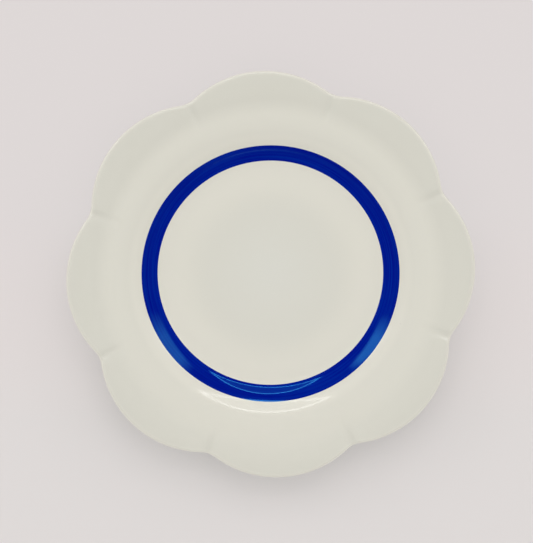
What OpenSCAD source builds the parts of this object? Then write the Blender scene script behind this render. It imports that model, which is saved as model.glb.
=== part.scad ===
// Scalloped dessert plate in glazed porcelain.
// One fired body carries a flat well, a short wall and a wide rim of petals,
// with a crease running in from every notch between them.
// Clear glaze covers it down to the foot ring, whose land is wiped bare,
// and a plain blue band is fired into the glaze on the wall.
// The origin is the middle of the foot land, with Z up through the plate's axis.
// The middle of the first petal lies on +X.

/* [Outline] */
// Diameter of the glazed plate over the tips of two opposite petals
plate_d = 215; // [195:1:240]
// Number of petals round the rim
petal_count = 8; // [6:1:10]
// How far the corner between two petals lies inside the tip circle
notch_depth = 8; // [6:0.5:11]
// Radius that softens that corner
notch_round = 14.5; // [6:0.5:18]

/* [Face] */
// Radius of the flat middle of the well
well_flat_r = 56; // [50:0.5:58]
// Width of the dished turn between the flat middle and the wall
dish_w = 4.5; // [3:0.5:6]
// Width of the wall, from there to its steepest place
wall_w = 5; // [4:0.5:7]
// Width over which the wall turns over into the rim
shoulder_w = 11.5; // [9:0.5:14]
// Slope of the face where the wall starts, in degrees
wall_start_slope = 19; // [14:1:24]
// Slope of the face at the steepest place, in degrees
wall_steep_slope = 35; // [28:1:40]
// Slope of the face at the verge, where the wall has become the rim, in degrees
verge_slope = 13; // [9:1:17]
// Slope of the face at the steepest place on a petal, in degrees
petal_steep_slope = 15; // [10:1:18]

/* [Creases] */
// Depth of the crease between two petals, at the notch
crease_depth = 1; // [0.6:0.1:1.8]
// Distance from the middle of a crease to where it has lost two thirds of its depth
crease_half_w = 2.2; // [1.8:0.1:4]
// Radius from the plate's axis at which a crease begins
crease_start_r = 81; // [77:0.5:88]

/* [Thickness] */
// Thickness of the porcelain under the well
base_t = 4; // [3.4:0.1:5]
// Thickness of the porcelain in the wall
wall_t = 3.4; // [2.8:0.1:4.2]
// Thickness of the porcelain at the edge of the rim
lip_t = 2.4; // [2:0.1:3]

/* [Foot ring] */
// Outer diameter of the ring that the plate stands on
foot_d = 120; // [112:1:124]
// Width of the ring, rounded edges included
foot_w = 2.6; // [2:0.1:3.4]
// Depth of the recess inside the foot ring
foot_h = 3.5; // [2:0.1:4]
// Draft of both walls of the foot ring, in degrees
foot_draft = 10; // [6:1:14]
// Height above the land at which the glaze stops
wipe_h = 1; // [0.8:0.1:1.4]

/* [Glaze] */
// Thickness of the clear glaze
glaze_t = 0.3; // [0.2:0.05:0.4]
// Radius of the middle of the blue band
band_mid_r = 63.75; // [58:0.25:70]
// Width of the blue band, measured flat
band_w = 8.5; // [4:0.5:12]
// Thickness of the blue enamel, sunk flush in the glaze
band_t = 0.15; // [0.1:0.05:0.15]

/* [Hidden] */

// The fired body inside the glaze
tip_r = plate_d / 2 - glaze_t;
notch_r = tip_r - notch_depth;
petal_angle = 360 / petal_count;
half_petal = petal_angle / 2;

// A petal's edge is an arc through its tip and the two notches beside it
petal_centre_r = (tip_r * tip_r - notch_r * notch_r)
    / (2 * (tip_r - notch_r * cos(half_petal)));
petal_arc_r = tip_r - petal_centre_r;

// The arc that softens a notch touches the petals on both sides of it.
// Both petals' centres lie this far along the notch's line and to its sides.
centre_along = petal_centre_r * cos(half_petal);
centre_aside = petal_centre_r * sin(half_petal);
soften_r = centre_along
    + sqrt(pow(petal_arc_r + notch_round, 2) - centre_aside * centre_aside);
touch_share = notch_round / (petal_arc_r + notch_round);
soften_reach = atan(
    centre_aside * touch_share / (soften_r - (soften_r - centre_along) * touch_share)
);

// Radius of the scalloped edge at an angle from the nearest notch
function edge_r(off) =
    off < soften_reach
        ? soften_r * cos(off) - sqrt(pow(notch_round, 2) - pow(soften_r * sin(off), 2))
        : petal_centre_r * cos(half_petal - off)
            + sqrt(pow(petal_arc_r, 2) - pow(petal_centre_r * sin(half_petal - off), 2));

// The plate is lofted through sections round its axis, closer together beside a notch
section_shares = [0, 0.06, 0.13, 0.29, 0.51, 0.75, 1];
section_angles = [
    for (petal = [0 : petal_count - 1])
        let (notch = (petal - 1 / 2) * petal_angle)
        each concat(
            [for (share = section_shares) notch + share * half_petal],
            [
                for (i = [len(section_shares) - 2 : -1 : 1])
                    notch + petal_angle - section_shares[i] * half_petal,
            ]
        ),
];

function from_notch(angle) =
    let (turned = (angle + half_petal) / petal_angle, part = turned - floor(turned))
    petal_angle * min(part, 1 - part);

// Slope of the face, as a tangent, at each radius where it is set.
// The rim levels out past the verge, climbs into the petals and is level again at the tips.
wall_start_r = well_flat_r + dish_w;
wall_steep_r = wall_start_r + wall_w;
verge_r = wall_steep_r + shoulder_w;
rim_w = tip_r - verge_r;
rim_dip_share = 0.23;
petal_steep_share = 0.52;
petal_ease_share = 0.77;
rim_dip_slope_share = 0.18;
petal_ease_slope_share = 0.36;
face_slopes = [
    [0, 0],
    [well_flat_r, 0],
    [wall_start_r, tan(wall_start_slope)],
    [wall_steep_r, tan(wall_steep_slope)],
    [verge_r, tan(verge_slope)],
    [verge_r + rim_w * rim_dip_share, tan(verge_slope) * rim_dip_slope_share],
    [verge_r + rim_w * petal_steep_share, tan(petal_steep_slope)],
    [verge_r + rim_w * petal_ease_share, tan(petal_steep_slope) * petal_ease_slope_share],
    [tip_r, 0],
];

// Height gained along stretch i of the face, up to radius r
function stretch_rise(i, r) =
    let (
        from = face_slopes[i],
        to = face_slopes[i + 1],
        run = min(max(r, from[0]), to[0]) - from[0],
        turn = (to[1] - from[1]) / (to[0] - from[0])
    )
    from[1] * run + turn * run * run / 2;

function total(list, i = 0) = i < len(list) ? list[i] + total(list, i + 1) : 0;

// Height of the body's face, and the height that a unit of thickness takes up there
well_z = foot_h + base_t;
function face_z(r) = well_z + total([for (i = [0 : len(face_slopes) - 2]) stretch_rise(i, r)]);
function upright(r) = sqrt(1 + pow(lookup(r, face_slopes), 2));

// Thickness of the body from the foot ring out to the lip
foot_r = foot_d / 2;
thickness = [[foot_r, base_t], [wall_steep_r, wall_t], [tip_r, lip_t]];

// How far a crease lowers the face and the back alike
function crease(r, angle) =
    let (
        run = min(max((r - crease_start_r) / (notch_r - crease_start_r), 0), 1),
        fade = run * run * (3 - 2 * run),
        across = r * sin(from_notch(angle)) / crease_half_w
    )
    crease_depth * fade * exp(-across * across);

// Points of a section, as radius and height, moved out of the body by skin
function face_point(r, angle, skin) = [r, face_z(r) - crease(r, angle) + skin * upright(r)];
function back_point(r, angle, skin) = [
    r,
    face_z(r) - crease(r, angle) - (lookup(r, thickness) + skin) * upright(r),
];

band_in_r = band_mid_r - band_w / 2;
band_out_r = band_mid_r + band_w / 2;

// Radii of the sections' points inside the scallops, on the face and on the back
well_radii = [well_flat_r, (well_flat_r + wall_start_r) / 2];
band_radii = [band_in_r, band_mid_r, band_out_r];
wall_radii = [wall_steep_r, (wall_steep_r + verge_r) / 2, verge_r];
shoulder_r = foot_r + base_t * 0.75;
under_r = max(wall_steep_r, shoulder_r) + lip_t;
back_radii = [verge_r, (under_r + verge_r) / 2, under_r];

// Places on a petal, as shares of the way from the verge to where the lip's round starts
petal_face_shares = [0.24, 0.5, 0.76, 1];
petal_back_shares = [1, 0.64, 0.3];
lip_r = lip_t / 2;
lip_bends = [45, 0, -45];

function petal_r(share, angle) =
    verge_r + share * (edge_r(from_notch(angle)) - lip_r - verge_r);

function well_face(angle, skin) =
    [for (r = well_radii) if (r < band_in_r) face_point(r, angle, skin)];

function band_face(angle, skin) = [for (r = band_radii) face_point(r, angle, skin)];

function petal_face(angle, skin) =
    [for (share = petal_face_shares) face_point(petal_r(share, angle), angle, skin)];

function lip(angle, skin) =
    let (
        r = petal_r(1, angle),
        top = face_point(r, angle, skin),
        bottom = back_point(r, angle, skin)
    )
    [
        for (bend = lip_bends)
            (top + bottom) / 2
                + [(lip_r + skin) * cos(bend), (top[1] - bottom[1]) / 2 * sin(bend)],
    ];

function back(angle, skin) = concat(
    [for (share = petal_back_shares) back_point(petal_r(share, angle), angle, skin)],
    [for (r = back_radii) back_point(r, angle, skin)]
);

// The section from the band over the petal and the lip to under the wall
function outside_band(angle, skin) = concat(
    [for (r = wall_radii) if (r > band_out_r) face_point(r, angle, skin)],
    petal_face(angle, skin),
    lip(angle, skin),
    back(angle, skin)
);

// Points of all sections, section by section
function section_points(path) = [
    for (angle = section_angles, p = path(angle)) [p[0] * cos(angle), p[0] * sin(angle), p[1]],
];

// Two triangles between points a and b of one section and c and d of the next.
// They share the shorter diagonal, so that two skins through the same points match.
function patch(points, a, b, c, d) =
    norm(points[c] - points[b]) < norm(points[a] - points[d])
        ? [[a, c, b], [c, d, b]]
        : [[a, c, d], [a, d, b]];

// A solid lofted through the sections, whose path runs out from the axis at first_z
// and back to the axis at last_z
module lofted(path, first_z, last_z) {
    count = len(path(0));
    turns = len(section_angles);
    skin_points = section_points(path);
    first = turns * count;
    last = first + 1;
    polyhedron(
        points = concat(skin_points, [[0, 0, first_z], [0, 0, last_z]]),
        faces = concat(
            [
                for (i = [0 : turns - 1], j = [0 : count - 2])
                    let (a = i * count + j, c = (i + 1) % turns * count + j)
                    each patch(skin_points, a, a + 1, c, c + 1),
            ],
            [
                for (i = [0 : turns - 1])
                    let (a = i * count, b = (i + 1) % turns * count)
                    each [[first, b, a], [last, a + count - 1, b + count - 1]],
            ]
        )
    );
}

// The same for a closed path that stays clear of the axis
module lofted_ring(path) {
    count = len(path(0));
    turns = len(section_angles);
    skin_points = section_points(path);
    polyhedron(
        points = skin_points,
        faces = [
            for (i = [0 : turns - 1], j = [0 : count - 1])
                let (a = i * count, c = (i + 1) % turns * count, k = (j + 1) % count)
                each patch(skin_points, a + j, a + k, c + j, c + k),
        ]
    );
}

// The foot ring: a land with rounded edges between drafted walls, flared into the back
land_round = foot_w / 4;
core_r = foot_r - foot_w / 2;
core_z = foot_h + base_t / 2;
core_lap = base_t / 4;
flare_h = wipe_h + foot_h / 6;
recess_blend = foot_h;
recess_turn_z = foot_h * 0.7;
blend_steps = 6;
edge_steps = 4;
round_steps = 192;

function wall_lean(z) =
    (land_round + (z - land_round) * sin(foot_draft)) / cos(foot_draft) - land_round;
function foot_out_r(z) = foot_r + wall_lean(z);
function foot_in_r(z) = foot_r - foot_w - wall_lean(z);

// A smooth turn from p to q that heads for the corner c at both ends
function blend(p, c, q) = [
    for (k = [0 : blend_steps])
        let (t = k / blend_steps)
        p * (1 - t) * (1 - t) + c * 2 * t * (1 - t) + q * t * t,
];

// The recess inside the ring, from its wall at a height to the axis
function recess(skin, low) =
    let (top = foot_h - skin)
    concat(
        [[foot_in_r(low) - skin, low]],
        blend(
            [foot_in_r(recess_turn_z) - skin, recess_turn_z],
            [foot_in_r(top) - skin, top],
            [foot_in_r(top) - skin - recess_blend, top]
        ),
        [[0, top]]
    );

function land_edge(r, from, to) = [
    for (k = [0 : edge_steps])
        let (a = from + (to - from) * k / edge_steps)
        [r + land_round * cos(a), land_round + land_round * sin(a)],
];

// The back runs straight from under the wall to a tuck inside the foot ring,
// and the foot ring's flare meets it at the shoulder
tuck_r = core_r + flare_h;

function under_back(r, skin) =
    let (
        tuck = back_point(tuck_r, half_petal, skin),
        under = back_point(under_r, half_petal, skin)
    )
    tuck + (under - tuck) * (r - tuck_r) / (under_r - tuck_r);

shoulder = under_back(shoulder_r, 0);
flare_foot = [foot_out_r(flare_h), flare_h];
flare_root_share = 0.4;
flare_root = shoulder + (shoulder - flare_foot) * flare_root_share;

module foot_ring() {
    rotate_extrude($fn = round_steps)
        polygon(
            concat(
                [[0, core_z], [core_r, core_z], flare_root, flare_foot],
                land_edge(foot_r - land_round, -foot_draft, -90),
                land_edge(foot_r - foot_w + land_round, -90, foot_draft - 180),
                recess(0, wipe_h)
            )
        );
}

module porcelain_body() {
    color("ivory")
        union() {
            lofted(
                function(angle) concat(
                    well_face(angle, 0),
                    band_face(angle, 0),
                    outside_band(angle, 0),
                    [back_point(tuck_r, angle, 0), [core_r, core_z - core_lap]]
                ),
                well_z,
                core_z - core_lap
            );
            foot_ring();
        }
}

// Room between the glaze's straight facets and the foot ring's round wall
foot_ease = 0.1;

// The coat's lower end, from the shoulder down the foot ring to the wiped land
function coat_foot(skin) =
    let (out = [foot_ease + skin, 0])
    [
        under_back(shoulder_r + foot_ease + skin, skin),
        flare_foot + out,
        [foot_out_r(wipe_h), wipe_h] + out,
    ];

function reversed(list) = [for (i = [len(list) - 1 : -1 : 0]) list[i]];

// The coat's section steps down where the band is sunk into it
module glaze_coat() {
    color("floralwhite")
        lofted(
            function(angle) concat(
                well_face(angle, glaze_t),
                [face_point(band_in_r, angle, glaze_t)],
                band_face(angle, glaze_t - band_t),
                [face_point(band_out_r, angle, glaze_t)],
                outside_band(angle, glaze_t),
                coat_foot(glaze_t),
                reversed(coat_foot(0)),
                reversed(outside_band(angle, 0)),
                reversed(band_face(angle, 0)),
                reversed(well_face(angle, 0))
            ),
            well_z + glaze_t,
            well_z
        );
}

// The glaze inside the foot ring, cut off from the coat by the bare land
module foot_recess_glaze() {
    color("floralwhite")
        rotate_extrude($fn = round_steps)
        polygon(concat(recess(glaze_t, wipe_h), reversed(recess(0, wipe_h))));
}

module blue_band() {
    color("mediumblue")
        lofted_ring(
            function(angle) concat(
                band_face(angle, glaze_t),
                reversed(band_face(angle, glaze_t - band_t))
            )
        );
}

porcelain_body();
glaze_coat();
foot_recess_glaze();
blue_band();
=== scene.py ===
"""Looks of the scalloped dessert plate: glazed porcelain with a cobalt band, on a pale floor."""

import math

import bpy
from mathutils import Matrix, Vector


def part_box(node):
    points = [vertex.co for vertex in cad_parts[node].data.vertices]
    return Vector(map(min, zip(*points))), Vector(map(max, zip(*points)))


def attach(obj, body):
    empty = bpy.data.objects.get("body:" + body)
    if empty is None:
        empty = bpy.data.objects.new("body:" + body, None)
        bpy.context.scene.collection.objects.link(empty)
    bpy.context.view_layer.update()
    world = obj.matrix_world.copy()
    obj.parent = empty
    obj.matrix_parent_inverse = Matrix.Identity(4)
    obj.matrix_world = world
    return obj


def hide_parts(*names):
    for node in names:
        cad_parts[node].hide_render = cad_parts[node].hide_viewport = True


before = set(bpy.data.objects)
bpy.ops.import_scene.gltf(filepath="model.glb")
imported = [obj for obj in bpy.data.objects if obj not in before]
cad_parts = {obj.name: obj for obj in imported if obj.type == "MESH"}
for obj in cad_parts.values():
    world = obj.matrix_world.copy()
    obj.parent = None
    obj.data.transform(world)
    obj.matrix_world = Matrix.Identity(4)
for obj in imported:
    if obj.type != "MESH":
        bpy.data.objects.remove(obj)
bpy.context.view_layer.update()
MM = 0.001

# Sizes that the frame gives
body_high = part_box("porcelain_body")[1]
coat_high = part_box("glaze_coat")[1]
tip_r = body_high.x
glaze_t = coat_high.x - body_high.x

# The petals' outline and the creases between them
petal_count = 8
notch_depth = 8 * MM
notch_round = 14.5 * MM
crease_depth = 1 * MM
crease_half_w = 2.2 * MM
crease_start_r = 81 * MM

# The face's profile: radius and slope at each stop
well_flat_r = 56 * MM
wall_start_r = 60.5 * MM
wall_steep_r = 65.5 * MM
verge_r = 77 * MM
rim_w = tip_r - verge_r
rim_dip_share = 0.23
petal_steep_share = 0.52
petal_ease_share = 0.77
rim_dip_r = verge_r + rim_w * rim_dip_share
petal_steep_r = verge_r + rim_w * petal_steep_share
petal_ease_r = verge_r + rim_w * petal_ease_share
wall_start_slope = math.tan(math.radians(19))
wall_steep_slope = math.tan(math.radians(35))
verge_slope = math.tan(math.radians(13))
petal_steep_slope = math.tan(math.radians(15))
rim_dip_slope_share = 0.18
petal_ease_slope_share = 0.36
face_stops = [
    (0, 0),
    (well_flat_r, 0),
    (wall_start_r, wall_start_slope),
    (wall_steep_r, wall_steep_slope),
    (verge_r, verge_slope),
    (rim_dip_r, verge_slope * rim_dip_slope_share),
    (petal_steep_r, petal_steep_slope),
    (petal_ease_r, petal_steep_slope * petal_ease_slope_share),
    (tip_r, 0),
]

# Thicknesses, the foot ring and the band
base_t = 4 * MM
wall_t = 3.4 * MM
lip_t = 2.4 * MM
lip_r = lip_t / 2
foot_r = 60 * MM
foot_w = 2.6 * MM
foot_h = 3.5 * MM
foot_draft = math.radians(10)
land_round = foot_w / 4
wipe_h = 1 * MM
band_in_r = 59.5 * MM
band_out_r = 68 * MM
band_t = 0.15 * MM
well_z = foot_h + base_t

# The back from the verge to the foot ring: under the wall, then straight to the shoulder,
# where a fillet turns down into the foot ring's outer wall
foot_ease = foot_h / 6
under_r = wall_steep_r + lip_t
tuck_r = foot_r - foot_w / 2 + wipe_h + foot_ease
shoulder_share = 0.75
shoulder_r = foot_r + base_t * shoulder_share
lead_share = 0.35
lead_r = shoulder_r + base_t * lead_share
flare_h = wipe_h + foot_ease
recess_turn_share = 0.7
recess_turn_z = foot_h * recess_turn_share

# The coat's flat middle is one ring of faces out to this share of the well's
coat_flat_share = 0.9

# How many steps each stretch of a section has, a petal's on its face, round its lip
# and on its back. The coat and the band are what shows, so they have more than the body
face_steps = 24
petal_steps = (24, 10, 16)
back_steps = 8
land_steps = 6
recess_steps = 6
coat_well_steps = 10
coat_wall_steps = 12
coat_petal_steps = (36, 12, 18)
coat_recess_steps = 10
band_seat_steps = 16
band_top_steps = 32

# How many steps a petal has round the plate, how close two points are to be one,
# and the bend above which an edge stays sharp
steps_per_petal = 52
weld_gap = 0.002 * MM
sharp_bend = math.radians(40)

# How far the photo's up is turned from +Y towards +X
photo_turn = math.radians(3.26)


def face_slope(r):
    """Slope of the face, as a tangent, at radius r."""
    for (r0, s0), (r1, s1) in zip(face_stops, face_stops[1:]):
        if r <= r1:
            return s0 + (s1 - s0) * (r - r0) / (r1 - r0)
    return face_stops[-1][1]


def face_z(r):
    """Height of the body's face at radius r, away from the creases."""
    z = well_z
    for (r0, s0), (r1, s1) in zip(face_stops, face_stops[1:]):
        run = min(max(r, r0), r1) - r0
        z += s0 * run + (s1 - s0) / (r1 - r0) * run * run / 2
    return z


def thickness(r):
    """Thickness of the body at radius r."""
    stops = [(foot_r, base_t), (wall_steep_r, wall_t), (tip_r, lip_t)]
    for (r0, t0), (r1, t1) in zip(stops, stops[1:]):
        if r <= r1:
            return t0 + (t1 - t0) * (max(r, r0) - r0) / (r1 - r0)
    return lip_t


def upright(r):
    """Height that a unit of thickness takes up where the face slopes."""
    return math.sqrt(1 + face_slope(r) ** 2)


def inside(r, z):
    """A section's point inside the verge, at a plain radius and height."""
    return {"r": r, "z": z, "share": -1.0, "side": 0.0, "skin": 0.0, "out": 0.0}


def on_petal(share, side, skin, out=0.0):
    """A section's point on a petal, by its share of the way from the verge to the lip.

    Its side is 1 on the face, -1 on the back and between them round the lip. Its skin is how
    far it lies out of the body, and out how far it lies past the middle of the lip's round.
    """
    return {"r": verge_r, "z": 0.0, "share": share, "side": side, "skin": skin, "out": out}


def spread(first, last, steps):
    """Evenly spaced values from first to last, both included."""
    return [first + (last - first) * i / steps for i in range(steps + 1)]


def face_points(first, last, steps, skin):
    return [inside(r, face_z(r) + skin * upright(r)) for r in spread(first, last, steps)]


def back_point(r, skin):
    return inside(r, face_z(r) - (thickness(r) + skin) * upright(r))


def petal_points(steps, skin):
    """From the verge over the face, round the lip and back to the verge underneath."""
    on_face, round_lip, on_back = steps
    return (
        [on_petal(share, 1.0, skin) for share in spread(0, 1, on_face)]
        + [
            on_petal(1.0, math.sin(bend), skin, (lip_r + skin) * math.cos(bend))
            for bend in spread(math.pi / 2, -math.pi / 2, round_lip)[1:-1]
        ]
        + [on_petal(share, -1.0, skin) for share in spread(1, 0, on_back)]
    )


def turn(p, c, q, steps):
    """A smooth turn from p to q that heads for the corner c at both ends."""
    return [
        tuple(a * (1 - t) ** 2 + b * 2 * t * (1 - t) + d * t * t for a, b, d in zip(p, c, q))
        for t in spread(0, 1, steps)
    ]


def wall_lean(z):
    """How far a drafted wall of the foot ring has moved out at height z."""
    reach = (land_round + (z - land_round) * math.sin(foot_draft)) / math.cos(foot_draft)
    return reach - land_round


def under_back(r, skin):
    """Height of the straight stretch of the back between the tuck and the wall's underside."""
    tuck = back_point(tuck_r, skin)["z"]
    under = back_point(under_r, skin)["z"]
    return tuck + (under - tuck) * (r - tuck_r) / (under_r - tuck_r)


def back_points(skin, steps):
    """From under the verge to the glaze's end on the foot ring's outer wall."""
    rim_side = [back_point(r, skin) for r in spread(verge_r, under_r, steps)[1:]]
    wall_r = foot_r + wall_lean(flare_h) + skin
    corner_z = under_back(wall_r, skin)
    fillet = turn(
        (lead_r, under_back(lead_r, skin)),
        (foot_r + wall_lean(corner_z) + skin, corner_z),
        (wall_r, flare_h),
        steps,
    )
    return rim_side + [inside(r, z) for r, z in fillet]


def recess_points(skin, steps):
    """The recess inside the foot ring, from the glaze's end on its wall to the axis."""
    top = foot_h - skin
    low_r = foot_r - foot_w - wall_lean(wipe_h) - skin
    corner_r = foot_r - foot_w - wall_lean(top) - skin
    fillet = turn(
        (foot_r - foot_w - wall_lean(recess_turn_z) - skin, recess_turn_z),
        (corner_r, top),
        (corner_r - foot_h, top),
        steps,
    )
    return [inside(low_r, wipe_h)] + [inside(r, z) for r, z in fillet] + [inside(0, top)]


def land_points(steps):
    """Round the bare land, from the foot ring's outer wall to its inner one."""
    outer_r = foot_r - land_round
    inner_r = foot_r - foot_w + land_round
    corners = [
        (outer_r, spread(-foot_draft, -math.pi / 2, steps)),
        (inner_r, spread(-math.pi / 2, foot_draft - math.pi, steps)),
    ]
    return [
        inside(middle_r + land_round * math.cos(a), land_round + land_round * math.sin(a))
        for middle_r, angles in corners
        for a in angles
    ]


def glazed_side():
    """The body's surface under the coat, from the axis to the glaze's end on the foot ring."""
    return (
        [inside(0, well_z)]
        + face_points(well_flat_r, verge_r, face_steps, 0)
        + petal_points(petal_steps, 0)
        + back_points(0, back_steps)
        + [inside(foot_r + wall_lean(wipe_h), wipe_h)]
    )


def body_section():
    return glazed_side() + land_points(land_steps) + recess_points(0, recess_steps)


def band_seat():
    """The step in the coat that the band fills."""
    return face_points(band_in_r, band_out_r, band_seat_steps, glaze_t - band_t)


def coat_section():
    end_r = foot_r + wall_lean(wipe_h)
    glaze_end = [
        inside(end_r + glaze_t, wipe_h + glaze_t / 2),
        inside(end_r + glaze_t / 2, wipe_h),
    ]
    return (
        [inside(0, well_z + glaze_t)]
        + face_points(well_flat_r * coat_flat_share, band_in_r, coat_well_steps, glaze_t)
        + band_seat()
        + face_points(band_out_r, verge_r, coat_wall_steps, glaze_t)
        + petal_points(coat_petal_steps, glaze_t)
        + back_points(glaze_t, back_steps)
        + glaze_end
        + glazed_side()[::-1]
    )


def recess_section():
    return recess_points(glaze_t, coat_recess_steps)[::-1] + recess_points(0, recess_steps)


def band_section():
    top = face_points(band_in_r, band_out_r, band_top_steps, glaze_t)
    return top + band_seat()[::-1] + top[:1]


class Term:
    """A number in a node tree. Sums, products and the methods join such numbers by math nodes."""

    def __init__(self, tree, socket):
        self.tree = tree
        self.socket = socket

    def join(self, operation, *others):
        node = self.tree.nodes.new("ShaderNodeMath")
        node.operation = operation
        for socket, value in zip(node.inputs, (self, *others)):
            fill(self.tree, socket, value)
        return Term(self.tree, node.outputs[0])

    def __add__(self, other):
        return self.join("ADD", other)

    def __sub__(self, other):
        return self.join("SUBTRACT", other)

    def __rsub__(self, other):
        return -self + other

    def __mul__(self, other):
        return self.join("MULTIPLY", other)

    def __truediv__(self, other):
        return self.join("DIVIDE", other)

    def __rtruediv__(self, other):
        return self ** -1.0 * other

    def __pow__(self, power):
        return self.join("POWER", power)

    def __neg__(self):
        return self * -1.0

    def under(self, other):
        """1 where this is less than the other, and 0 elsewhere."""
        return self.join("LESS_THAN", other)

    def at_least(self, other):
        return self.join("MAXIMUM", other)

    def at_most(self, other):
        return self.join("MINIMUM", other)

    def clamped(self):
        """This, kept between 0 and 1."""
        return self.at_least(0.0).at_most(1.0)

    def sqrt(self):
        return self.join("SQRT")

    def sin(self):
        return self.join("SINE")

    def cos(self):
        return self.join("COSINE")

    def atan(self):
        return self.join("ARCTANGENT")

    def exp(self):
        return self.join("EXPONENT")

    def absolute(self):
        return self.join("ABSOLUTE")

    def whole(self):
        return self.join("ROUND")


def fill(tree, socket, value):
    """Gives a node's input a term, another node's output or a plain value."""
    if isinstance(value, Term):
        value = value.socket
    if isinstance(value, bpy.types.NodeSocket):
        tree.links.new(value, socket)
    else:
        socket.default_value = value


def set_inputs(tree, node, values):
    """Fills a node's inputs, each by its name."""
    for name, value in values.items():
        fill(tree, node.inputs[name], value)


def add_node(tree, kind, values=(), **settings):
    """A new node with its settings made and its inputs filled by name."""
    node = tree.nodes.new(kind)
    for key, value in settings.items():
        setattr(node, key, value)
    set_inputs(tree, node, dict(values))
    return node


def split_place(tree, place):
    """A place's x, y and z."""
    split = tree.nodes.new("ShaderNodeSeparateXYZ")
    tree.links.new(place, split.inputs[0])
    return [Term(tree, split.outputs[axis]) for axis in "XYZ"]


def blend(share, at_one, at_zero):
    """Evenly from at_zero, where the share is 0, to at_one, where it is 1."""
    return share * (at_one - at_zero) + at_zero


def eased(run):
    """A run from 0 to 1 that starts and ends slowly."""
    return run * run * (run * -2.0 + 3.0)


# The sizes that the petal tree takes as inputs
rim_stops = [(r, s) for r, s in face_stops if r >= verge_r]
PLATE_SIZES = {
    "Petals": petal_count,
    "Steps per Petal": steps_per_petal,
    "Tip Radius": tip_r,
    "Notch Depth": notch_depth,
    "Notch Round": notch_round,
    "Verge Radius": verge_r,
    "Verge Height": face_z(verge_r),
    "Lip Radius": lip_r,
    "Crease Start": crease_start_r,
    "Crease Depth": crease_depth,
    "Crease Half Width": crease_half_w,
    "Wall Radius": wall_steep_r,
    "Wall Thickness": wall_t,
    "Lip Thickness": lip_t,
}
for number, (stop_r, stop_slope) in enumerate(rim_stops):
    PLATE_SIZES[f"Rim Stop {number} Radius"] = stop_r
    PLATE_SIZES[f"Rim Stop {number} Slope"] = stop_slope


def petal_outline(size, off, half):
    """Radius of the scalloped edge at an angle from the nearest notch."""
    tip = size["Tip Radius"]
    notch = tip - size["Notch Depth"]
    centre = (tip * tip - notch * notch) / ((tip - notch * half.cos()) * 2.0)
    arc = tip - centre
    along = centre * half.cos()
    aside = centre * half.sin()
    soften = along + ((arc + size["Notch Round"]) ** 2.0 - aside * aside).sqrt()
    touch = size["Notch Round"] / (arc + size["Notch Round"])
    reach = (aside * touch / (soften - (soften - along) * touch)).atan()
    soft_chord = size["Notch Round"] ** 2.0 - (soften * off.sin()) ** 2.0
    soft_edge = soften * off.cos() - soft_chord.at_least(0.0).sqrt()
    turned = half - off
    arc_edge = centre * turned.cos() + (arc ** 2.0 - (centre * turned.sin()) ** 2.0).sqrt()
    return blend(off.under(reach), soft_edge, arc_edge)


def rim_height(size, r):
    """Height and slope of the face at a radius past the verge."""
    height = size["Verge Height"]
    slope = size["Rim Stop 0 Slope"]
    for number in range(len(rim_stops) - 1):
        from_r = size[f"Rim Stop {number} Radius"]
        to_r = size[f"Rim Stop {number + 1} Radius"]
        from_slope = size[f"Rim Stop {number} Slope"]
        to_slope = size[f"Rim Stop {number + 1} Slope"]
        run = r.at_least(from_r).at_most(to_r) - from_r
        bend = (to_slope - from_slope) / (to_r - from_r)
        height = height + from_slope * run + bend * run * run * 0.5
        slope = slope + bend * run
    return height, slope


def crease(size, r, off):
    """How far a crease lowers the face and the back alike."""
    start = size["Crease Start"]
    end = size["Tip Radius"] - size["Notch Depth"]
    run = ((r - start) / (end - start)).clamped()
    across = r * off.sin() / size["Crease Half Width"]
    return size["Crease Depth"] * eased(run) * (-(across * across)).exp()


def socket_type(value):
    return "NodeSocketInt" if isinstance(value, int) else "NodeSocketFloat"


def section_value(tree, section, row, name):
    """A value that the section's point in this row of the grid holds."""
    value = add_node(tree, "GeometryNodeInputNamedAttribute", {"Name": name}, data_type="FLOAT")
    sample = add_node(
        tree,
        "GeometryNodeSampleIndex",
        {"Geometry": section, "Value": value.outputs["Attribute"], "Index": row},
        data_type="FLOAT",
        domain="POINT",
    )
    return Term(tree, sample.outputs["Value"])


def half_petal(size):
    """Half of the angle that a petal takes up."""
    return math.pi / size["Petals"]


def petal_place(size, point, step):
    """The x, y and z of a section's point at a step round the petal, and its edge gap.

    The glaze's material reads the gap, which is how far a point lies from the scalloped edge.
    """
    # Steps lie closer together beside the notches
    half = half_petal(size)
    crowding = 0.5
    crowded = step - (step * (2 * math.pi)).sin() * (crowding / (2 * math.pi))
    angle = (crowded - 0.5) * half * 2.0
    off = half - angle.absolute()

    edge = petal_outline(size, off, half)
    verge = size["Verge Radius"]
    petal_r = verge + point["share"].at_least(0.0) * (edge - size["Lip Radius"] - verge)
    height, slope = rim_height(size, petal_r)
    wall = size["Wall Radius"]
    thinned = (petal_r - wall) / (size["Tip Radius"] - wall)
    thick = blend(thinned, size["Lip Thickness"], size["Wall Thickness"])
    up = (slope * slope + 1.0).sqrt()
    over = up * (point["side"] * (thick * 0.5 + point["skin"]) - thick * 0.5)
    petal_z = height - crease(size, petal_r, off) + over
    inner = point["share"].under(0.0)
    r = blend(inner, point["r"], petal_r + point["out"])
    z = blend(inner, point["z"], petal_z)
    gap = blend(inner, edge - verge, (edge - petal_r - point["out"]).at_least(0.0))
    return r * angle.cos(), r * angle.sin(), z, gap


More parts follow.
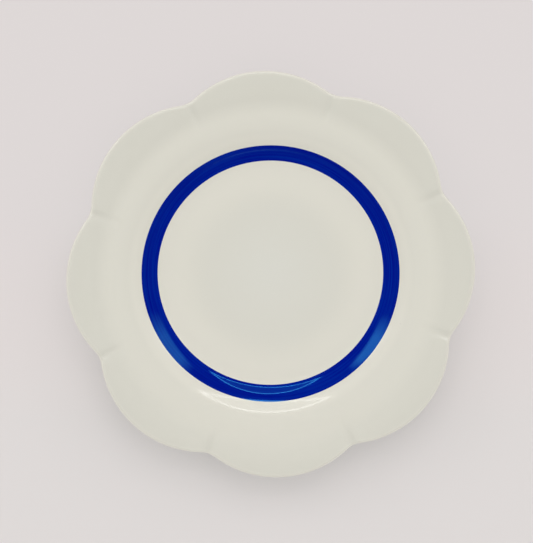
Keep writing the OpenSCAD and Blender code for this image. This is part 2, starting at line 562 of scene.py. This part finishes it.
def one_petal(tree, section, size):
    """The section swept through one petal's angle: a grid with a row for each of its points."""
    count = add_node(
        tree, "GeometryNodeAttributeDomainSize", {"Geometry": section}, component="MESH"
    )
    rows = Term(tree, count.outputs["Point Count"])
    grid_size = {
        "Size X": 1.0,
        "Size Y": 1.0,
        "Vertices X": rows,
        "Vertices Y": size["Steps per Petal"] + 1.0,
    }
    grid = add_node(tree, "GeometryNodeMeshGrid", grid_size)

    # The grid lies from -0.5 to 0.5 each way
    grid_x, grid_y, _ = split_place(tree, add_node(tree, "GeometryNodeInputPosition").outputs[0])
    row = ((grid_x + 0.5) * (rows - 1.0)).whole()
    point = {name: section_value(tree, section, row, name) for name in inside(0, 0)}
    x, y, z, gap = petal_place(size, point, grid_y + 0.5)
    measured = add_node(
        tree,
        "GeometryNodeStoreNamedAttribute",
        {"Geometry": grid.outputs["Mesh"], "Name": "edge_gap", "Value": gap},
        data_type="FLOAT",
        domain="POINT",
    )
    place = add_node(tree, "ShaderNodeCombineXYZ", {"X": x, "Y": y, "Z": z})
    placed = {"Geometry": measured.outputs["Geometry"], "Position": place.outputs["Vector"]}
    return add_node(tree, "GeometryNodeSetPosition", placed).outputs["Geometry"]


def copied_round(tree, petal, size):
    """Copies of the petal round the axis, joined into one skin."""
    places = add_node(
        tree, "GeometryNodeMeshLine", {"Count": size["Petals"], "Offset": (0, 0, 0)}
    )
    index = Term(tree, add_node(tree, "GeometryNodeInputIndex").outputs[0])
    turned = add_node(tree, "ShaderNodeCombineXYZ", {"Z": index * half_petal(size) * 2.0})
    rotation = add_node(tree, "FunctionNodeEulerToRotation", {"Euler": turned.outputs["Vector"]})
    petals = add_node(
        tree,
        "GeometryNodeInstanceOnPoints",
        {
            "Points": places.outputs["Mesh"],
            "Instance": petal,
            "Rotation": rotation.outputs["Rotation"],
        },
    )
    whole = add_node(
        tree, "GeometryNodeRealizeInstances", {"Geometry": petals.outputs["Instances"]}
    )
    welded = {"Geometry": whole.outputs["Geometry"], "Distance": weld_gap}
    return add_node(tree, "GeometryNodeMergeByDistance", welded).outputs["Geometry"]


def smoothed(tree, geometry):
    """Smooth shading on every face, but sharp edges where the surface bends sharply."""
    smooth = add_node(tree, "GeometryNodeSetShadeSmooth", {"Geometry": geometry}, domain="FACE")
    bend = add_node(tree, "GeometryNodeInputMeshEdgeAngle").outputs["Unsigned Angle"]
    sharp = add_node(
        tree, "FunctionNodeCompare", {"A": bend, "B": sharp_bend}, operation="GREATER_THAN"
    )
    sharpened = add_node(
        tree,
        "GeometryNodeSetShadeSmooth",
        {
            "Geometry": smooth.outputs["Geometry"],
            "Selection": sharp.outputs["Result"],
            "Shade Smooth": False,
        },
        domain="EDGE",
    )
    return sharpened.outputs["Geometry"]


def petal_plate_tree():
    """Revolves a section into petals: one petal by formula, then copies round the axis."""
    tree = bpy.data.node_groups.new("petal plate", "GeometryNodeTree")
    sockets = tree.interface
    sockets.new_socket("Geometry", in_out="OUTPUT", socket_type="NodeSocketGeometry")
    sockets.new_socket("Section", in_out="INPUT", socket_type="NodeSocketGeometry")
    for name, value in PLATE_SIZES.items():
        sockets.new_socket(name, in_out="INPUT", socket_type=socket_type(value))
    sockets.new_socket("Material", in_out="INPUT", socket_type="NodeSocketMaterial")
    given = tree.nodes.new("NodeGroupInput")
    size = {name: Term(tree, given.outputs[name]) for name in PLATE_SIZES}
    petal = one_petal(tree, given.outputs["Section"], size)
    plate = smoothed(tree, copied_round(tree, petal, size))
    coloured = {"Geometry": plate, "Material": given.outputs["Material"]}
    plate = add_node(tree, "GeometryNodeSetMaterial", coloured).outputs["Geometry"]
    add_node(tree, "NodeGroupOutput", {"Geometry": plate})
    return tree


def section_mesh(name, points):
    """The section as loose points that carry their values as attributes."""
    mesh = bpy.data.meshes.new(name)
    mesh.from_pydata([(p["r"], 0, p["z"]) for p in points], [], [])
    for key in points[0]:
        values = mesh.attributes.new(key, "FLOAT", "POINT")
        values.data.foreach_set("value", [p[key] for p in points])
    return mesh


def points_outwards(mesh):
    """Whether a closed mesh's faces point out of it, by its signed volume."""
    volume = 0.0
    mesh.calc_loop_triangles()
    for triangle in mesh.loop_triangles:
        a, b, c = (mesh.vertices[i].co for i in triangle.vertices)
        volume += a.dot(b.cross(c))
    return volume > 0


def plate_piece(name, points, material, node_name):
    """A piece of the plate, made from its section by the petal tree, that replaces a CAD node."""
    piece = bpy.data.objects.new(name, section_mesh(name, points))
    bpy.context.scene.collection.objects.link(piece)
    modifier = piece.modifiers.new("petal plate", "NODES")
    modifier.node_group = petal_tree
    values = dict(PLATE_SIZES, Material=material)
    for item in petal_tree.interface.items_tree:
        if item.item_type == "SOCKET" and item.in_out == "INPUT" and item.name in values:
            modifier[item.identifier] = values[item.name]
    evaluated = piece.evaluated_get(bpy.context.evaluated_depsgraph_get())
    made = bpy.data.meshes.new_from_object(evaluated)
    made.name = name
    piece.modifiers.remove(modifier)
    piece.data = made
    if not points_outwards(made):
        made.flip_normals()
    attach(piece, "root")
    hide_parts(node_name)


def srgb(red, green, blue):
    """A colour given as 8-bit screen values."""

    def linear(value):
        part = value / 255
        return part / 12.92 if part <= 0.04045 else ((part + 0.055) / 1.055) ** 2.4

    return (linear(red), linear(green), linear(blue), 1)


# The glaze: its colours, how much of each shows, and where
well_colour = srgb(226, 224, 213)
petal_colour = srgb(213, 212, 202)
centre_colour = srgb(219, 219, 211)
cloud_colour = srgb(219, 219, 210)
# The pale line along the lip: glaze running thin there, and a painted lip highlight
thin_glaze_and_lip_highlight_colour = srgb(229, 226, 216)
speck_colour = srgb(120, 100, 78)
glaze_cloud_share = 0.35
lip_thin_glaze_and_highlight_share = 0.45
glaze_fleck_share = 0.15
lip_thin_glaze_and_highlight_w = 2.2 * MM
centre_r = 44 * MM
ripple_depth = 0.012 * MM

# The glaze's tone at radii from the middle out: 1 the well's colour, 0 the petals'
GLAZE_TONES = [
    (30 * MM, 0.3),
    (52 * MM, 1.0),
    (72 * MM, 1.0),
    (76 * MM, 0.6),
    (84 * MM, 0.6),
    (95 * MM, 0.15),
    (104 * MM, 0.0),
]

# The bare land: its colours, its grain, and the grey that it has picked up
dark_bisque = srgb(219, 215, 203)
light_bisque = srgb(229, 226, 216)
rubbed_grey = srgb(168, 164, 155)
bisque_fleck_share = 0.5
grain_scale = 2600.0
grain_depth = 0.03 * MM
grain_bump_share = 0.6
smoothest_grain = 0.68
grain_roughness_range = 0.2
rubbed_h = 0.25 * MM
rub_scale = 300.0
rub_start = 0.3
rub_gain = 1.2
rub_share_limit = 0.5

# The band: its colours, the brush's streaks, and its thin borders
deep_cobalt = srgb(0, 2, 138)
light_cobalt = srgb(0, 34, 152)
thin_cobalt = srgb(40, 80, 168)
cobalt_gloss_tint = (0.06, 0.53, 1, 1)
streak_ring_r = 0.9
streak_w = 0.9 * MM
streak_scale = 1.4
streak_contrast = 2.4
cobalt_cloud_contrast = 0.5
thin_cobalt_w = 0.35 * MM
thin_cobalt_share = 0.3

# A Mix node has its share and its colours at these places among its sockets
MIX_SHARE = 0
MIX_LOW = 6
MIX_HIGH = 7
MIX_RESULT = 2


def new_material(name):
    material = bpy.data.materials.new(name)
    material.use_nodes = True
    return material, material.node_tree, material.node_tree.nodes["Principled BSDF"]


def node_group(name, inputs, output):
    """An empty shader node group with named number inputs and one number as its output."""
    group = bpy.data.node_groups.new(name, "ShaderNodeTree")
    for label, value in inputs.items():
        socket = group.interface.new_socket(label, in_out="INPUT", socket_type="NodeSocketFloat")
        socket.default_value = value
    group.interface.new_socket(output, in_out="OUTPUT", socket_type="NodeSocketFloat")
    given = group.nodes.new("NodeGroupInput")
    result = group.nodes.new("NodeGroupOutput")
    sizes = {label: Term(group, given.outputs[label]) for label in inputs}
    return group, sizes, result


def object_place(tree):
    """Coordinates of the object in metres."""
    return tree.nodes.new("ShaderNodeTexCoord").outputs["Object"]


def noise(tree, place, scale, detail):
    """Noise from 0 to 1 about a middle of 0.5, with scale features to the metre."""
    made = tree.nodes.new("ShaderNodeTexNoise")
    set_inputs(tree, made, {"Vector": place, "Scale": scale, "Detail": detail})
    return Term(tree, made.outputs["Fac"])


def use_group(tree, group, **values):
    """What a group gives with its inputs set by name, spaces written as underscores."""
    made = tree.nodes.new("ShaderNodeGroup")
    made.node_tree = group
    for label, value in values.items():
        fill(tree, made.inputs[label.replace("_", " ")], value)
    return Term(tree, made.outputs[0])


def mix_colour(tree, share, low, high):
    """A colour between two, by a share from 0 to 1. Either may be a socket."""
    made = tree.nodes.new("ShaderNodeMix")
    made.data_type = "RGBA"
    fill(tree, made.inputs[MIX_SHARE], share)
    fill(tree, made.inputs[MIX_LOW], low)
    fill(tree, made.inputs[MIX_HIGH], high)
    return made.outputs[MIX_RESULT]


def bump(tree, height, strength, distance):
    made = tree.nodes.new("ShaderNodeBump")
    set_inputs(tree, made, {"Height": height, "Strength": strength, "Distance": distance})
    return made.outputs[0]


def firing_cloud_group():
    """Broad, faint unevenness of a fired surface, from 0 to 1."""
    group, size, result = node_group("firing cloud", {"Scale": 20.0, "Contrast": 1.0}, "Tone")
    place = object_place(group)
    fine_ratio = 7.0
    fine_share = 0.25
    broad = noise(group, place, size["Scale"], detail=3.0)
    fine = noise(group, place, size["Scale"] * fine_ratio, detail=2.0)
    both = broad * (1 - fine_share) + fine * fine_share
    tone = (both - 0.5) * size["Contrast"] + 0.5
    fill(group, result.inputs["Tone"], tone.clamped())
    return group


def ripple_group():
    """Height of the slight waves in a melted glaze, as a share of the waves' own depth."""
    group, size, result = node_group("glaze ripple", {"Scale": 110.0, "Fine Share": 0.3}, "Height")
    place = object_place(group)
    fine_ratio = 6.0
    waves = noise(group, place, size["Scale"], detail=1.0)
    fine = noise(group, place, size["Scale"] * fine_ratio, detail=1.0)
    fill(group, result.inputs["Height"], blend(size["Fine Share"], fine, waves))
    return group


def speck_group():
    """Mask of rare small specks, 1 in a speck. Density is the share of cells that hold one."""
    group, size, result = node_group(
        "specks", {"Scale": 150.0, "Density": 0.03, "Radius Share": 0.12}, "Mask"
    )
    cells = group.nodes.new("ShaderNodeTexVoronoi")
    set_inputs(group, cells, {"Vector": object_place(group), "Scale": size["Scale"]})
    lot = group.nodes.new("ShaderNodeSeparateColor")
    group.links.new(cells.outputs["Color"], lot.inputs[0])
    least_share = 0.3
    edge_sharpness = 2.0
    chosen = Term(group, lot.outputs[0]).under(size["Density"])
    lot_share = Term(group, lot.outputs[1]) * (1 - least_share) + least_share
    own_radius = size["Radius Share"] * lot_share
    near = (1.0 - Term(group, cells.outputs["Distance"]) / own_radius).at_least(0.0)
    fill(group, result.inputs["Mask"], (near * chosen * edge_sharpness).at_most(1.0))
    return group


cloud = firing_cloud_group()
ripple = ripple_group()
specks = speck_group()


def radial_tone(r, stops):
    """A tone that runs smoothly between radii at which it is set."""
    tone = stops[0][1]
    for (r0, t0), (r1, t1) in zip(stops, stops[1:]):
        run = (r.at_least(r0).at_most(r1) - r0) / (r1 - r0)
        tone = eased(run) * (t1 - t0) + tone
    return tone


def ivory_glaze():
    """White on the wall, greyer in the well's middle and on the petals, paler along the lip: thin
    glaze there, and a painted highlight.
    """
    material, tree, shader = new_material("ivory glaze")
    x, y, _ = split_place(tree, object_place(tree))
    r = (x * x + y * y).sqrt()
    edge = tree.nodes.new("ShaderNodeAttribute")
    edge.attribute_name = "edge_gap"
    tone = radial_tone(r, GLAZE_TONES)
    middle = (1.0 - r / centre_r).at_least(0.0)
    # A pale line along the lip: thin glaze, and a painted highlight on the lip's edge
    pale_edge = (1.0 - Term(tree, edge.outputs["Fac"]) / lip_thin_glaze_and_highlight_w).at_least(0.0)
    clouds = use_group(tree, cloud, Scale=22.0, Contrast=1.6)
    fleck = use_group(tree, specks, Scale=150.0, Density=0.02, Radius_Share=0.08)
    colour = mix_colour(tree, tone, petal_colour, well_colour)
    colour = mix_colour(tree, middle, colour, centre_colour)
    colour = mix_colour(tree, clouds * glaze_cloud_share, colour, cloud_colour)
    colour = mix_colour(tree, pale_edge * lip_thin_glaze_and_highlight_share, colour, thin_glaze_and_lip_highlight_colour)
    colour = mix_colour(tree, fleck * glaze_fleck_share, colour, speck_colour)
    waves = use_group(tree, ripple, Scale=110.0, Fine_Share=0.25)
    normal = bump(tree, waves, 1.0, ripple_depth)
    looks = {
        "Base Color": colour,
        "Roughness": 0.35,
        "Specular IOR Level": 0.3,
        "Coat Weight": 1.0,
        "Coat Roughness": 0.095,
        "Coat IOR": 1.55,
        "Normal": normal,
        "Coat Normal": normal,
    }
    set_inputs(tree, shader, looks)
    return material


def bare_porcelain():
    """Matt and grained, with the grey that the land picks up from tables and from stacking."""
    material, tree, shader = new_material("bare porcelain")
    place = object_place(tree)
    z = split_place(tree, place)[2]
    grain = noise(tree, place, grain_scale, detail=3.0)
    clouds = use_group(tree, cloud, Scale=60.0, Contrast=1.8)
    patches = (noise(tree, place, rub_scale, detail=3.0) - rub_start).at_least(0.0)
    rubbed = z.under(rubbed_h) * patches * rub_gain
    fleck = use_group(tree, specks, Scale=500.0, Density=0.06, Radius_Share=0.2)
    colour = mix_colour(tree, clouds, dark_bisque, light_bisque)
    colour = mix_colour(tree, rubbed.at_most(rub_share_limit), colour, rubbed_grey)
    colour = mix_colour(tree, fleck * bisque_fleck_share, colour, speck_colour)
    looks = {
        "Base Color": colour,
        "Roughness": grain * grain_roughness_range + smoothest_grain,
        "Specular IOR Level": 0.4,
        "Normal": bump(tree, grain, grain_bump_share, grain_depth),
    }
    set_inputs(tree, shader, looks)
    return material


def cobalt_enamel():
    """Streaked along the band, as the brush ran, and thin at both borders."""
    material, tree, shader = new_material("cobalt enamel")
    x, y, _ = split_place(tree, object_place(tree))
    r = (x * x + y * y).sqrt()
    around = tree.nodes.new("ShaderNodeCombineXYZ")
    ring = {"X": x / r * streak_ring_r, "Y": y / r * streak_ring_r, "Z": r / streak_w}
    set_inputs(tree, around, ring)
    streaks = noise(tree, around.outputs["Vector"], streak_scale, detail=3.0)
    clouds = use_group(tree, cloud, Scale=45.0, Contrast=1.5)
    lightness = (streaks - 0.5) * streak_contrast + (clouds - 0.5) * cobalt_cloud_contrast + 0.5
    to_border = (r - band_in_r).at_most(band_out_r - r)
    pale_edge = (1.0 - to_border / thin_cobalt_w).at_least(0.0)
    colour = mix_colour(tree, lightness.clamped(), deep_cobalt, light_cobalt)
    colour = mix_colour(tree, pale_edge * thin_cobalt_share, colour, thin_cobalt)
    waves = use_group(tree, ripple, Scale=140.0, Fine_Share=0.3)
    looks = {
        "Base Color": colour,
        "Roughness": 0.055,
        "Specular IOR Level": 1.0,
        "Specular Tint": cobalt_gloss_tint,
        "Normal": bump(tree, waves, 1.0, ripple_depth),
    }
    set_inputs(tree, shader, looks)
    return material


# The pieces
petal_tree = petal_plate_tree()
glaze = ivory_glaze()
porcelain = bare_porcelain()
cobalt = cobalt_enamel()
plate_piece("plate_body", body_section(), porcelain, "porcelain_body")
plate_piece("plate_glaze", coat_section(), glaze, "glaze_coat")
plate_piece("recess_glaze", recess_section(), glaze, "foot_recess_glaze")
plate_piece("cobalt_band", band_section(), cobalt, "blue_band")

# The floor: below means towards the photo's bottom and above towards its top,
# with an even change between the two
floor_reach = 3.0
floor_change_low = -80 * MM
floor_change_high = 30 * MM
glow_share_below = 0.3
glow_share_above = 0.88
floor_paper = srgb(221, 216, 214)
floor_glow_below = srgb(211, 217, 215)
floor_glow_above = srgb(219, 216, 215)
floor_lit_below = srgb(225, 217, 217)
floor_lit_above = srgb(241, 216, 216)


def floor_material():
    """Paper that glows where it is seen, so that its shadow is soft, and faint above the plate."""
    material, tree, shader = new_material("floor paper")
    x, y, _ = split_place(tree, object_place(tree))
    ahead = x * math.sin(photo_turn) + y * math.cos(photo_turn)
    above = ((ahead - floor_change_low) / (floor_change_high - floor_change_low)).clamped()
    ray = tree.nodes.new("ShaderNodeLightPath")
    seen = Term(tree, ray.outputs["Is Camera Ray"]) + Term(tree, ray.outputs["Is Glossy Ray"])
    seen = seen.at_most(1.0)
    lit = mix_colour(tree, above, floor_lit_below, floor_lit_above)
    looks = {
        "Base Color": mix_colour(tree, seen, floor_paper, lit),
        "Roughness": 0.9,
        "Specular IOR Level": 0.0,
    }
    set_inputs(tree, shader, looks)
    glow = tree.nodes.new("ShaderNodeEmission")
    glow_colour = mix_colour(tree, above, floor_glow_below, floor_glow_above)
    tree.links.new(glow_colour, glow.inputs["Color"])
    mixed = tree.nodes.new("ShaderNodeMixShader")
    fill(tree, mixed.inputs[0], seen * blend(above, glow_share_above, glow_share_below))
    tree.links.new(shader.outputs[0], mixed.inputs[1])
    tree.links.new(glow.outputs[0], mixed.inputs[2])
    tree.links.new(mixed.outputs[0], tree.nodes["Material Output"].inputs["Surface"])
    return material


floor_mesh = bpy.data.meshes.new("floor")
corners = [(-floor_reach, -floor_reach), (floor_reach, -floor_reach)]
corners += [(floor_reach, floor_reach), (-floor_reach, floor_reach)]
floor_mesh.from_pydata([(x, y, 0) for x, y in corners], [], [(0, 1, 2, 3)])
floor = bpy.data.objects.new("floor", floor_mesh)
floor.data.materials.append(floor_material())
bpy.context.scene.collection.objects.link(floor)

# The camera looks almost straight down. It stands a little to the photo's top and left
# from the plate's axis, which crosses the rim's height at the axis pixel
PHOTO_W = 533
PHOTO_H = 543
axis_pixel = (270.9, 275.6)
mm_per_pixel = 0.5246
tilt_up = math.radians(6.5)
tilt_left = math.radians(1)
sensor_mm = 36.0
camera_distance = 2.0
near_clip = 0.01
far_clip = 20

photo_right = Vector((math.cos(photo_turn), -math.sin(photo_turn), 0))
photo_up = Vector((math.sin(photo_turn), math.cos(photo_turn), 0))
aside = (PHOTO_W / 2 - axis_pixel[0]) * mm_per_pixel * MM
ahead = (axis_pixel[1] - PHOTO_H / 2) * mm_per_pixel * MM
rim_z = face_z(petal_ease_r)
target = photo_right * aside + photo_up * ahead + Vector((0, 0, rim_z))
back = Vector((0, 0, 1)) - photo_right * math.tan(tilt_left) + photo_up * math.tan(tilt_up)
back.normalize()
top = (photo_up - back * photo_up.dot(back)).normalized()
right = top.cross(back)

camera_data = bpy.data.cameras.new("camera")
camera_data.sensor_width = sensor_mm
camera_data.lens = sensor_mm * camera_distance / (PHOTO_H * mm_per_pixel * MM)
camera_data.clip_start = near_clip
camera_data.clip_end = far_clip
camera = bpy.data.objects.new("camera", camera_data)
turned = Matrix((right, top, back)).transposed().to_4x4()
camera.matrix_world = Matrix.Translation(target + back * camera_distance) @ turned
bpy.context.scene.collection.objects.link(camera)
bpy.context.scene.camera = camera


def from_photo(right_m, up_m, z_m):
    """A direction or place given along the photo's right, its up and the plate's axis."""
    return photo_right * right_m + photo_up * up_m + Vector((0, 0, z_m))


def soft_lamp(name, place, aim, width, height, watts):
    """A flat rectangular lamp that shines along the aim."""
    data = bpy.data.lights.new(name, "AREA")
    data.shape = "RECTANGLE"
    data.size = width
    data.size_y = height
    data.energy = watts
    lamp = bpy.data.objects.new(name, data)
    lamp.location = place
    lamp.rotation_euler = (-aim).to_track_quat("Z", "Y").to_euler()
    lamp.visible_camera = False
    bpy.context.scene.collection.objects.link(lamp)
    return lamp


def lamp_place(lamp):
    """The lamp's node tree and its face's coordinates, from -1 to 1 each way."""
    lamp.data.use_nodes = True
    tree = lamp.data.node_tree
    place = tree.nodes.new("ShaderNodeNewGeometry")
    x, y, _ = split_place(tree, place.outputs["Parametric"])
    return tree, x * 2.0 - 1.0, y * 2.0 - 1.0


def set_strength(tree, strength):
    tree.links.new(strength.socket, tree.nodes["Emission"].inputs["Strength"])


def half_oval(lamp, border_share, arc_strength, chord_strength, middle_strength):
    """Cuts a lamp's light to a half oval, its arc downmost and its chord uppermost."""
    tree, x, y = lamp_place(lamp)
    down = (y - 1.0) * 0.5
    r = (x * x + down * down).sqrt()
    on_chord = 1.0 - down.under(-border_share)
    on_arc = 1.0 - r.under(1 - border_share)
    strength = blend(on_chord, chord_strength, middle_strength)
    strength = blend(on_arc, arc_strength, strength)
    set_strength(tree, strength * r.under(1.0))


def feathered(lamp, feather_share):
    """Fades a lamp's light towards its edges, over a share of its half width and height."""
    tree, x, y = lamp_place(lamp)
    inside_x = ((1.0 - x.absolute()) / feather_share).at_most(1.0)
    inside_y = ((1.0 - y.absolute()) / feather_share).at_most(1.0)
    set_strength(tree, inside_x * inside_y)


# The windows: one at the photo's top, and one in each side wall. The plate mirrors the top
# one, from its near zenith angle to its far one, as a lens in the band and a crescent
# outside it
top_distance = 3.0
top_azimuth = math.radians(85)
top_near_zenith = math.radians(31)
top_far_zenith = math.radians(54.4)
top_zenith = (top_near_zenith + top_far_zenith) / 2
top_place = from_photo(
    top_distance * math.sin(top_zenith) * math.cos(top_azimuth),
    top_distance * math.sin(top_zenith) * math.sin(top_azimuth),
    top_distance * math.cos(top_zenith),
)
top_window_w = 2.16
top_window_h = 2 * top_distance * math.tan((top_far_zenith - top_near_zenith) / 2)
top_watts = 24
top_window = soft_lamp("top window", top_place, -top_place, top_window_w, top_window_h, top_watts)
half_oval(
    top_window, border_share=0.09, arc_strength=1.6, chord_strength=1.7, middle_strength=0.13
)

# A side window's hand is 1 on the photo's right and -1 on its left
wall_distance = 2.0
side_window_w = 1.7
side_window_z = 1.25
side_feather_share = 0.6
right_window_ahead = 1.2
left_window_ahead = 1.3
right_watts = 12
left_watts = 17.5
side_windows = [
    ("right window", 1, right_window_ahead, right_watts),
    ("left window", -1, left_window_ahead, left_watts),
]
for name, hand, window_ahead, watts in side_windows:
    window_place = from_photo(hand * wall_distance, window_ahead, side_window_z)
    inwards = from_photo(-hand, 0, 0)
    window = soft_lamp(name, window_place, inwards, side_window_w, side_window_w, watts)
    feathered(window, side_feather_share)

# The room is dark overhead, where the gloss mirrors it, and pale towards the horizon
room_colour = (1, 0.985, 0.965, 1)
room_strength = 0.895
overhead_strength = 0.08
horizon_strength = 0.8
horizon_zenith = math.radians(74)
world = bpy.data.worlds.new("studio")
world.use_nodes = True
room_tree = world.node_tree
room = room_tree.nodes["Background"]
ray = room_tree.nodes.new("ShaderNodeLightPath")
glossy = Term(room_tree, ray.outputs["Is Glossy Ray"])
direction = room_tree.nodes.new("ShaderNodeTexCoord").outputs["Generated"]
low = split_place(room_tree, direction)[2].under(math.cos(horizon_zenith))
mirrored = blend(low, horizon_strength, overhead_strength)
strength = blend(glossy, mirrored, room_strength)
set_inputs(room_tree, room, {"Color": room_colour, "Strength": strength})
bpy.context.scene.world = world
bpy.context.scene.view_settings.view_transform = "Standard"
